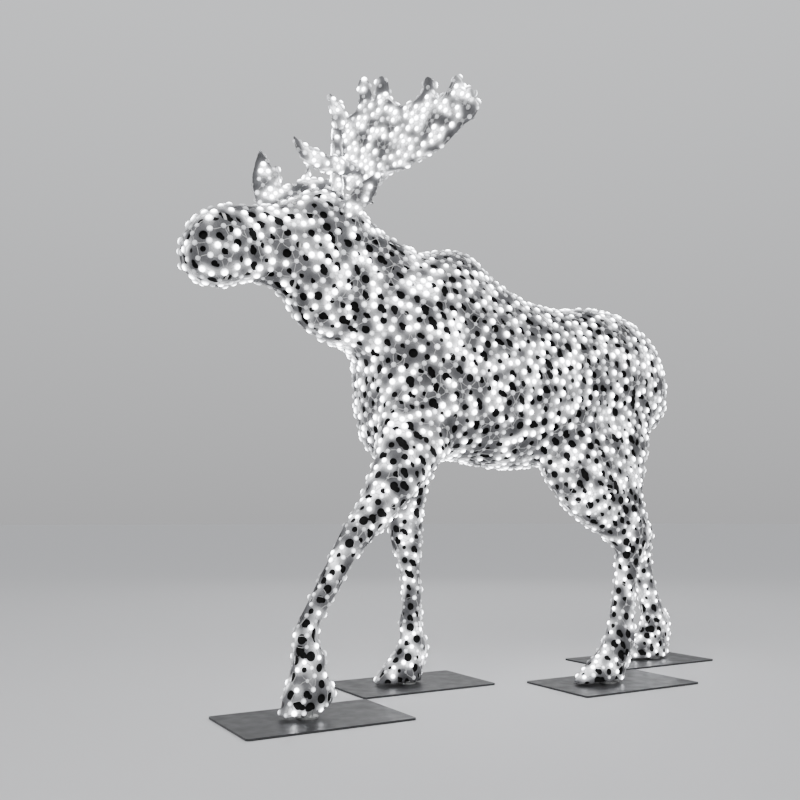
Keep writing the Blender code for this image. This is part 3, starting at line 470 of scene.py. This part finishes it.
def ring(row, side):
    """Points round one rounded section."""
    start = np.array([row[0] - CENTRE_X, 0.0, row[1]])
    end = np.array([row[2] - CENTRE_X, 0.0, row[3]])
    y = side * row[5] if len(row) > 5 else 0.0
    angle = np.linspace(0, 2 * math.pi, RING_POINTS, endpoint=False)
    along = np.sign(np.cos(angle)) * np.abs(np.cos(angle)) ** FULLNESS
    across = np.sign(np.sin(angle)) * np.abs(np.sin(angle)) ** FULLNESS
    points = (start + end) / 2 + np.outer(along, (start - end) / 2)
    points[:, 1] = y + row[4] * across
    return points


def bands(rings, sides):
    """Faces between neighbouring rings of points."""
    faces = []
    for low in range(0, (rings - 1) * sides, sides):
        for index in range(sides):
            after = (index + 1) % sides
            faces.append((low + index, low + after, low + sides + after, low + sides + index))
    return faces


def end_caps(rings, sides):
    """The faces that close a row of rings."""
    return [tuple(range(sides))[::-1], tuple(range((rings - 1) * sides, rings * sides))]


def closed_loft(rows, side):
    """Vertices and faces of a closed form through smoothed sections."""
    rings = [ring(row, side) for row in smooth_rows(rows, ROW_STEPS)]
    faces = bands(len(rings), RING_POINTS) + end_caps(len(rings), RING_POINTS)
    return np.concatenate(rings), faces


def joined(forms):
    """Several lists of vertices and faces as one."""
    verts, faces = [], []
    for points, polygons in forms:
        start = len(verts)
        verts.extend(map(tuple, points))
        faces.extend(tuple(start + index for index in polygon) for polygon in polygons)
    return verts, faces


def applied(thing):
    """The thing with its modifiers made real."""
    evaluated = thing.evaluated_get(bpy.context.evaluated_depsgraph_get())
    mesh = bpy.data.meshes.new_from_object(evaluated)
    thing.modifiers.clear()
    old = thing.data
    thing.data = mesh
    bpy.data.meshes.remove(old)
    return thing


def remeshed(thing, voxel, rounds):
    """One smooth closed skin round a set of closed forms."""
    remesh = thing.modifiers.new("skin", "REMESH")
    remesh.mode = "VOXEL"
    remesh.voxel_size = voxel
    remesh.use_smooth_shade = True
    relax = thing.modifiers.new("relax", "SMOOTH")
    relax.factor = 0.5
    relax.iterations = rounds
    return applied(thing)


def mesh_points(mesh):
    """Vertex places and normals as arrays."""
    places = np.zeros(len(mesh.vertices) * 3)
    normals = np.zeros(len(mesh.vertices) * 3)
    mesh.vertices.foreach_get("co", places)
    mesh.vertex_normals.foreach_get("vector", normals)
    return places.reshape(-1, 3), normals.reshape(-1, 3)


def body_skin():
    """The skin of the head, neck, torso and legs together."""
    forms = [closed_loft(BODY, 0.0)]
    for leg, rows in LEGS.items():
        forms.append(closed_loft(rows, -1.0 if leg.endswith("left") else 1.0))
    verts, faces = joined(forms)
    made = mesh_object("body_skin", verts, faces, [])
    bm = bmesh.new()
    bm.from_mesh(made.data)
    bmesh.ops.recalc_face_normals(bm, faces=bm.faces)
    bm.to_mesh(made.data)
    bm.free()
    return remeshed(made, BODY_VOXEL, BODY_ROUNDS)


def middle_of(name):
    """Middle of a CAD node's box."""
    low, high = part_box(name)
    return (np.array(low) + np.array(high)) / 2


def antler_axes():
    """Middle of each antler's spigot, and the direction it slides in."""
    made = {}
    for joint in frame["record"]["behaviour"]["joints"]:
        if joint["type"] == "slide":
            side = joint["name"].split("_")[0]
            made[side] = middle_of("antler_spigot_" + side), np.array(joint["axis"])
    return made


def along_and_off(points, axis):
    """How far points lie along an antler's axis, and how far off it."""
    centre, way = axis
    along = (points - centre) @ way
    return along, np.linalg.norm(points - centre - np.outer(along, way), axis=1)


def node_skin(name, plug=None):
    """The skin of one solid CAD node, its bore along the plug's axis filled."""
    source = nodes[name].data
    bm = bmesh.new()
    bm.from_mesh(source)
    bmesh.ops.remove_doubles(bm, verts=bm.verts, dist=WELD)
    if plug:
        centre, way = plug
        middle = Vector(centre + way * BORE_REACH / 2)
        turn = Vector(way).to_track_quat("Z", "Y").to_matrix().to_4x4()
        bmesh.ops.create_cone(bm, cap_ends=True, segments=BORE_SIDES, radius1=BORE_RADIUS,
                              radius2=BORE_RADIUS, depth=BORE_REACH,
                              matrix=Matrix.Translation(middle) @ turn)
    mesh = bpy.data.meshes.new(name + "_skin")
    bm.to_mesh(mesh)
    bm.free()
    return remeshed(linked(name + "_skin", mesh), THIN_VOXEL, THIN_ROUNDS)


# ---------------------------------------------------------------- lamps, gaps and strings

def leg_share(points):
    """0 on the body, 1 on the legs, and between at their tops."""
    share = np.clip((LEG_TOP - points[:, 2]) / (LEG_TOP - LEG_FULL), 0.0, 1.0)
    return share * share * (3.0 - 2.0 * share)


def thinned(spots, reach, cell_side):
    """Indices of the points kept, in order, each clear of those kept before it."""
    near_cells = [(dx, dy, dz) for dx in (-1, 0, 1) for dy in (-1, 0, 1) for dz in (-1, 0, 1)]
    cells_of = np.floor(spots / cell_side).astype(int)
    grid = {}
    kept = []

    def crowded(index, x, y, z):
        """Whether a kept point lies within reach of this one."""
        for dx, dy, dz in near_cells:
            for other in grid.get((x + dx, y + dy, z + dz), ()):
                gap = spots[other] - spots[index]
                if gap @ gap < (0.5 * (reach[index] + reach[other])) ** 2:
                    return True
        return False

    for index, cell in enumerate(map(tuple, cells_of)):
        if not crowded(index, *cell):
            grid.setdefault(cell, []).append(index)
            kept.append(index)
    return kept


def scattered(mesh, spacing, keep=None, leg_scale=1.0):
    """Points spread over a mesh, no closer than a spacing drawn for each: places and normals."""
    mesh.calc_loop_triangles()
    places, normals = mesh_points(mesh)
    corners = np.zeros(len(mesh.loop_triangles) * 3, int)
    mesh.loop_triangles.foreach_get("vertices", corners)
    corners = corners.reshape(-1, 3)
    a, b, c = (places[corners[:, i]] for i in range(3))
    area = np.linalg.norm(np.cross(b - a, c - a), axis=1) / 2
    wanted = int(TRIES * area.sum() / (spacing[0] * min(leg_scale, 1.0)) ** 2)
    picked = random.choice(len(corners), wanted, p=area / area.sum())
    u, v = random.random(wanted), random.random(wanted)
    flip = u + v > 1
    u[flip], v[flip] = 1 - u[flip], 1 - v[flip]
    weights = np.stack([1 - u - v, u, v], axis=1)[:, :, None]
    spots = (places[corners[picked]] * weights).sum(axis=1)
    facing = (normals[corners[picked]] * weights).sum(axis=1)
    facing /= np.linalg.norm(facing, axis=1)[:, None]
    reach = random.uniform(*spacing, wanted)
    reach *= 1.0 + (leg_scale - 1.0) * leg_share(spots)
    if keep is not None:
        inside = keep(spots, facing)
        spots, facing, reach = spots[inside], facing[inside], reach[inside]
    kept = thinned(spots, reach, spacing[1])
    return spots[kept], facing[kept]


def tree_of(points):
    """A search tree over points."""
    made = KDTree(len(points))
    for index, point in enumerate(points):
        made.insert(point, index)
    made.balance()
    return made


def lamp_form(radius, height, sides=8):
    """A frosted cap on its holder: places, faces, brightness and paint of each face."""
    # share of the radius, share of the height, brightness
    profile = [(0.62, -0.10, 0.0), (0.66, 0.14, 0.05), (0.96, 0.18, 0.22), (1.0, 0.34, 0.30),
               (0.93, 0.60, 0.48), (0.68, 0.84, 0.80), (0.30, 0.97, 1.0)]
    places, glow = [], []
    for share, level, light in profile:
        for index in range(sides):
            angle = 2 * math.pi * index / sides
            places.append((share * radius * math.cos(angle), share * radius * math.sin(angle),
                           level * height))
            glow.append(light)
    top = len(places)
    places.append((0.0, 0.0, height))
    glow.append(1.0)
    walls = bands(len(profile), sides)
    tip = [(top - sides + index, top - sides + (index + 1) % sides, top) for index in range(sides)]
    base = [tuple(range(sides))[::-1]]
    cap, holder = 0, 1
    paint = [holder] * sides + [cap] * (len(walls) - sides) + [cap] * sides + [holder]
    return np.array(places), walls + tip + base, np.array(glow), paint


def repeated(faces, count, times):
    """Faces of a form set out many times, with its count of points."""
    return [tuple(start + index for index in face)
            for start in range(0, times * count, count) for face in faces]


def side_ways(facing):
    """Two directions across each normal."""
    helper = np.where(np.abs(facing[:, 2:3]) < 0.9, [[0.0, 0.0, 1.0]], [[1.0, 0.0, 0.0]])
    first = np.cross(helper, facing)
    first /= np.linalg.norm(first, axis=1)[:, None]
    return first, np.cross(facing, first)


def lamp_object(name, spots, facing, power, sizes, kind):
    """All the lamps of one cover."""
    places, faces, glow, paint = lamp_form(kind.radius, kind.height)
    first, second = side_ways(facing)
    verts = (places[None, :, 0:1] * first[:, None] + places[None, :, 1:2] * second[:, None]
             + places[None, :, 2:3] * facing[:, None]) * sizes[:, None, None] + spots[:, None]
    made = mesh_object(name, verts.reshape(-1, 3).tolist(),
                       repeated(faces, len(places), len(spots)), [LAMP, LAMP_HOLDER])
    made.data.polygons.foreach_set("material_index", paint * len(spots))
    values = made.data.attributes.new("glow", "FLOAT", "POINT")
    values.data.foreach_set("value", (power[:, None] * glow[None]).ravel())
    return made


def string_pairs(spots, facing, reach, gap_spots=(), radii=()):
    """Pairs of lamps that a cable joins: near ones with no lamp in the way and no gap between."""
    tree = tree_of(spots)
    gaps = tree_of(gap_spots) if len(gap_spots) else None
    pairs = []
    for index, spot in enumerate(spots):
        near = [other for _, other, _ in tree.find_range(spot, reach)]
        for other in near:
            if other <= index or facing[index] @ facing[other] < CABLE_TURN:
                continue
            middle = (spot + spots[other]) / 2
            half = np.sum((spot - spots[other]) ** 2) / 4
            if any(np.sum((spots[third] - middle) ** 2) < half
                   for third in near if third not in (index, other)):
                continue
            if gaps:
                _, gap, distance = gaps.find(middle)
                if distance < radii[gap] * GAP_CABLE_SHARE:
                    continue
            pairs.append((index, other))
    return pairs


def string_object(name, spots, facing, pairs, kind, sides=5, steps=4):
    """Thin cables between lamps, each bowed a little to one side."""
    ends = np.array(pairs)
    start, end = spots[ends[:, 0]], spots[ends[:, 1]]
    normal = facing[ends[:, 0]] + facing[ends[:, 1]]
    normal /= np.linalg.norm(normal, axis=1)[:, None]
    run = end - start
    length = np.linalg.norm(run, axis=1)[:, None]
    way = run / length
    across = np.cross(normal, way)
    across /= np.linalg.norm(across, axis=1)[:, None]
    upward = np.cross(way, across)
    bow = random.uniform(-CABLE_BOW, CABLE_BOW, (len(ends), 1)) * length
    verts = []
    for step in range(steps):
        t = step / (steps - 1)
        arch = math.sin(math.pi * t)
        lift = kind.cable_lift * (0.4 + 0.6 * arch)
        centre = start + run * t + across * bow * arch + normal * lift
        for index in range(sides):
            angle = 2 * math.pi * index / sides
            off = across * math.cos(angle) + upward * math.sin(angle)
            verts.append(centre + kind.cable_radius * off)
    form = bands(steps, sides) + end_caps(steps, sides)
    return mesh_object(name, np.stack(verts, axis=1).reshape(-1, 3).tolist(),
                       repeated(form, steps * sides, len(ends)), [STRING])


def cut_away(source, target, doomed):
    """Write one mesh into another without some of its faces."""
    bm = bmesh.new()
    bm.from_mesh(source)
    bm.faces.ensure_lookup_table()
    bmesh.ops.delete(bm, geom=[bm.faces[i] for i in np.flatnonzero(doomed)], context="FACES")
    bm.to_mesh(target)
    bm.free()


def face_centres(mesh):
    """Middle of each face."""
    centres = np.zeros(len(mesh.polygons) * 3)
    mesh.polygons.foreach_get("center", centres)
    return centres.reshape(-1, 3)


def shifted(source, depth, name):
    """A copy of a skin moved inwards, by one depth or a depth for each vertex."""
    made = linked(name, source.data.copy())
    places, normals = mesh_points(made.data)
    depth = np.broadcast_to(depth, len(places))[:, None]
    made.data.vertices.foreach_set("co", (places - normals * depth).ravel())
    made.data.update()
    return made


def open_gaps(thing, centres, radii):
    """Cut round gaps in a skin and true up their edges."""
    tree = tree_of(centres)
    bm = bmesh.new()
    bm.from_mesh(thing.data)

    def outside(point):
        """Signed distance from the nearest gap's edge, and the gap's middle."""
        best = (1.0, None)
        for place, index, distance in tree.find_n(point, 3):
            if distance - radii[index] < best[0]:
                best = (distance - radii[index], place)
        return best

    doomed = [face for face in bm.faces if outside(face.calc_center_median())[0] < 0]
    bmesh.ops.delete(bm, geom=doomed, context="FACES")
    for vert in bm.verts:
        if vert.is_boundary:
            distance, centre = outside(vert.co)
            if abs(distance) < GAP_EDGE:
                away = vert.co - centre
                away -= away.project(vert.normal)
                vert.co -= away.normalized() * distance
    loose = [vert for vert in bm.verts if not vert.link_faces]
    bmesh.ops.delete(bm, geom=loose, context="VERTS")
    bm.to_mesh(thing.data)
    bm.free()


def open_ends(thing):
    """Cut a skin away round the antler sockets and under the hooves."""
    centres = face_centres(thing.data)
    doomed = np.zeros(len(centres), bool)
    for axis in antler_axes().values():
        along, off = along_and_off(centres, axis)
        doomed |= (off < SOCKET_ROOM) & (np.abs(along) < SOCKET_REACH)
    downward = np.array([polygon.normal.z for polygon in thing.data.polygons]) < SOLE_FACING
    doomed |= downward & (centres[:, 2] < SOLE_HEIGHT)
    cut_away(thing.data, thing.data, doomed)


def add_glow(thing, spots, facing, power, kind):
    """Store how brightly the lamps on its own side, and round an edge, light each vertex."""
    tree = tree_of(spots)
    values = []
    for vert in thing.data.vertices:
        total = 0.0
        for _, index, distance in tree.find_range(vert.co, GLOW_REACH * kind.spread):
            side = max(0.0, vert.normal.dot(Vector(facing[index])) + kind.wrap) / (1.0 + kind.wrap)
            total += power[index] * side * math.exp(-(distance / kind.spread) ** 2)
        values.append(total)
    values = np.minimum(1.0, kind.gain * np.array(values))
    found = thing.data.attributes.new("glow", "FLOAT", "POINT")
    found.data.foreach_set("value", values)


def piece_of(source, chosen, name, wall, paint):
    """The chosen faces of a skin as a thin closed piece of their own."""
    mesh = bpy.data.meshes.new(name)
    cut_away(source.data, mesh, ~chosen)
    mesh.materials.clear()
    mesh.materials.append(paint)
    made = linked(name, mesh)
    thick = made.modifiers.new("wall", "SOLIDIFY")
    thick.thickness = wall
    thick.offset = -1
    return applied(made)


def placed(thing, body, slot, *stands_for):
    """Fix a piece to its body and hide the nodes it stands for; the slot it is given is not used.
    """
    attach(thing, body)
    if stands_for:
        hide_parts(*stands_for)


def lamp_draws(count, kind):
    """How bright each lamp looks, and its scale: some are full, some turned away and dim."""
    power = random.uniform(*MIDDLING_POWER, count)
    draw = random.random(count)
    power[draw < kind.bright] = 1.0
    power[draw > 1.0 - kind.dim] = DIM_POWER
    return power, random.uniform(*kind.size, count) + kind.size_by_power * power


def net_gaps(net):
    """Middles and radii of a net's gaps: round ones, many with smaller ones in a slanted run."""
    spots, _ = scattered(net.data, GAP_SPACING, leg_scale=GAP_LEG_SCALE)
    radii = random.uniform(*GAP_RADIUS, len(spots))
    slant = np.array(GAP_SLANT) + random.normal(0.0, GAP_SLANT_SPREAD, (len(spots), 3))
    slant /= np.linalg.norm(slant, axis=1)[:, None]
    run_spots, run_radii = [spots], [radii]
    for step, share in GAP_RUNS:
        chosen = random.random(len(spots)) < share
        run_spots.append(spots[chosen] + slant[chosen] * radii[chosen, None] * step)
        run_radii.append(radii[chosen] * random.uniform(*GAP_RUN_SCALE, chosen.sum()))
    return np.concatenate(run_spots), np.concatenate(run_radii)


def dressed_body():
    """Sheet of painted shade, net, lamps and strings of the head, neck, torso and legs."""
    covers = ["torso_light_net", "neck_light_net", "head_light_net",
              *("leg_light_net_" + leg for leg in LEGS)]
    verts, faces, owner = [], [], []
    for index, name in enumerate(covers):
        start = len(verts)
        verts.extend(tuple(vert.co) for vert in nodes[name].data.vertices)
        for polygon in nodes[name].data.polygons:
            faces.append([start + corner for corner in polygon.vertices])
            owner.append(index)
    cover_tree = BVHTree.FromPolygons(verts, faces)

    def owners(points):
        """Which cover each point belongs to."""
        return np.array([owner[cover_tree.find_nearest(Vector(point))[2]] for point in points])

    skin = body_skin()
    on_leg = leg_share(mesh_points(skin.data)[0])
    depth = NET_DEPTH + (LEG_NET_DEPTH - NET_DEPTH) * on_leg
    net = shifted(skin, depth, "net_skin")
    # painted shade: a black sheet inside the net stands in for the dark within the figure
    shade_sheet = shifted(skin, depth + SHADE_SHEET_DEPTH * (1.0 - SHADE_SHEET_LEG_CUT * on_leg), "shade_sheet_skin")
    gap_spots, radii = net_gaps(net)
    gap_tree = tree_of(gap_spots)

    def clear(points, normals):
        """Which points keep clear of the gaps, the soles, the sockets and the knobs."""
        kept = []
        for point in points:
            _, index, distance = gap_tree.find(point)
            kept.append(distance > radii[index] + GAP_CLEARANCE)
        kept = np.array(kept) & (points[:, 2] > LAMP_FLOOR)
        kept &= (points[:, 2] > SOLE_HEIGHT) | (normals[:, 2] > SOLE_FACING)
        for side, axis in antler_axes().items():
            along, off = along_and_off(points, axis)
            kept &= (off > FLANGE_ROOM) | (np.abs(along) > FLANGE_ROOM)
            knob = middle_of("antler_knob_" + side)
            kept &= np.linalg.norm(points - knob, axis=1) > KNOB_ROOM
        return kept

    kind = BODY_LAMPS
    spots, facing = scattered(net.data, kind.spacing, clear, leg_scale=LAMP_LEG_SCALE)
    power, sizes = lamp_draws(len(spots), kind)
    sizes *= 1.0 - LAMP_LEG_CUT * leg_share(spots)
    open_gaps(net, gap_spots, radii)
    for cover in (net, shade_sheet):
        open_ends(cover)
    add_glow(net, spots, facing, power, kind)
    pairs = string_pairs(spots, facing, kind.cable_reach, gap_spots, radii)

    net_owner = owners(face_centres(net.data))
    shade_sheet_owner = owners(face_centres(shade_sheet.data))
    lamp_owner = owners(spots)
    for index, name in enumerate(covers):
        short = name.replace("_light_net", "")
        shade_piece = piece_of(shade_sheet, shade_sheet_owner == index, short + "_lining", SHADE_SHEET_WALL, SHADE_SHEET)
        placed(shade_piece, "figure", "light_net")
        mesh = piece_of(net, net_owner == index, short + "_net", NET_WALL, NET)
        placed(mesh, "figure", "light_net", name)
        mine = lamp_owner == index
        lamps = lamp_object(short + "_lamps", spots[mine], facing[mine], power[mine], sizes[mine],
                            kind)
        placed(lamps, "figure", "light_net")
        own_pairs = [pair for pair in pairs if lamp_owner[pair[0]] == index]
        strings = string_object(short + "_strings", spots, facing, own_pairs, kind)
        placed(strings, "figure", "white_cable")
    for used in (skin, net, shade_sheet):
        bpy.data.objects.remove(used)
    print("lamps", len(spots), "gaps", len(gap_spots), "cables", len(pairs))


def dressed_node(name, body):
    """Net, lamps and strings of an ear or an antler."""
    axis = antler_axes()[name.split("_")[1]] if name.startswith("antler") else None
    skin = node_skin(name, axis)
    net = shifted(skin, THIN_DEPTH, name + "_net")

    def clear(points, _):
        """Which points keep clear of the flange under an antler."""
        along, off = along_and_off(points, axis)
        return (off > FLANGE_ROOM) | (along > FLANGE_TOP)

    kind = THIN_LAMPS
    spots, facing = scattered(net.data, kind.spacing, clear if axis else None)
    power, sizes = lamp_draws(len(spots), kind)
    add_glow(net, spots, facing, power, kind)
    net.data.materials.clear()
    net.data.materials.append(NET)
    placed(net, body, "light_net", name)
    lamps = lamp_object(name + "_lamps", spots, facing, power, sizes, kind)
    placed(lamps, body, "light_net")
    pairs = string_pairs(spots, facing, kind.cable_reach)
    strings = string_object(name + "_strings", spots, facing, pairs, kind)
    placed(strings, body, "white_cable")
    bpy.data.objects.remove(skin)
    print(name, "lamps", len(spots))


dressed_body()
for ear_name in ("ear_left", "ear_right"):
    dressed_node(ear_name, "figure")
dressed_node("antler_left", "left_antler")
dressed_node("antler_right", "right_antler")

for part in frame["record"]["subparts"]:
    paint = PAINTS.get(part["material_slot"])
    if paint:
        thing = nodes[part["node"]]
        thing.data.materials.clear()
        thing.data.materials.append(paint)


# ---------------------------------------------------------------- studio

def area_light(name, place, target, size, power):
    """A soft rectangular light."""
    lamp = bpy.data.lights.new(name, "AREA")
    lamp.size = size
    lamp.energy = power
    made = linked(name, lamp)
    made.location = place
    made.rotation_euler = (Vector(target) - Vector(place)).to_track_quat("-Z", "Y").to_euler()


def studio():
    """A plain pale floor, soft light and the camera."""
    reach, level = 150.0, -0.0005
    corners = ((-reach, -reach), (reach, -reach), (reach, reach), (-reach, reach))
    floor = mesh_object("floor", [(x, y, level) for x, y in corners], [(0, 1, 2, 3)], [])
    paint, _, shader = new_material("floor_paint")
    shader.inputs["Base Color"].default_value = (0.62, 0.62, 0.63, 1.0)
    shader.inputs["Roughness"].default_value = 0.7
    floor.data.materials.append(paint)
    world = bpy.data.worlds.new("studio")
    bpy.context.scene.world = world
    world.use_nodes = True
    tree = world.node_tree
    place = tree.nodes.new("ShaderNodeTexCoord")
    height = tree.nodes.new("ShaderNodeSeparateXYZ")
    tree.links.new(place.outputs["Generated"], height.inputs["Vector"])
    sky = ramp(tree, height.outputs["Z"], [(0.0, (0.50, 0.50, 0.51)), (0.5, (0.80, 0.81, 0.83))])
    tree.links.new(sky, tree.nodes["Background"].inputs["Color"])
    tree.nodes["Background"].inputs["Strength"].default_value = 1.0
    area_light("key", (-4.5, -4.0, 5.5), (0.0, 0.0, 1.2), 4.0, 240.0)
    area_light("fill", (4.0, -5.0, 3.5), (0.0, 0.0, 1.0), 4.0, 70.0)
    area_light("back", (3.0, 5.0, 4.5), (0.0, 0.0, 1.4), 3.0, 70.0)

    camera = bpy.data.cameras.new("camera")
    camera.lens = 40.5
    camera.sensor_width = 36.0
    made = linked("camera", camera)
    made.location = (-2.430, -3.420, 0.740)
    made.rotation_euler = (math.radians(97.6), 0.0, -math.radians(29.9))
    bpy.context.scene.camera = made


studio()
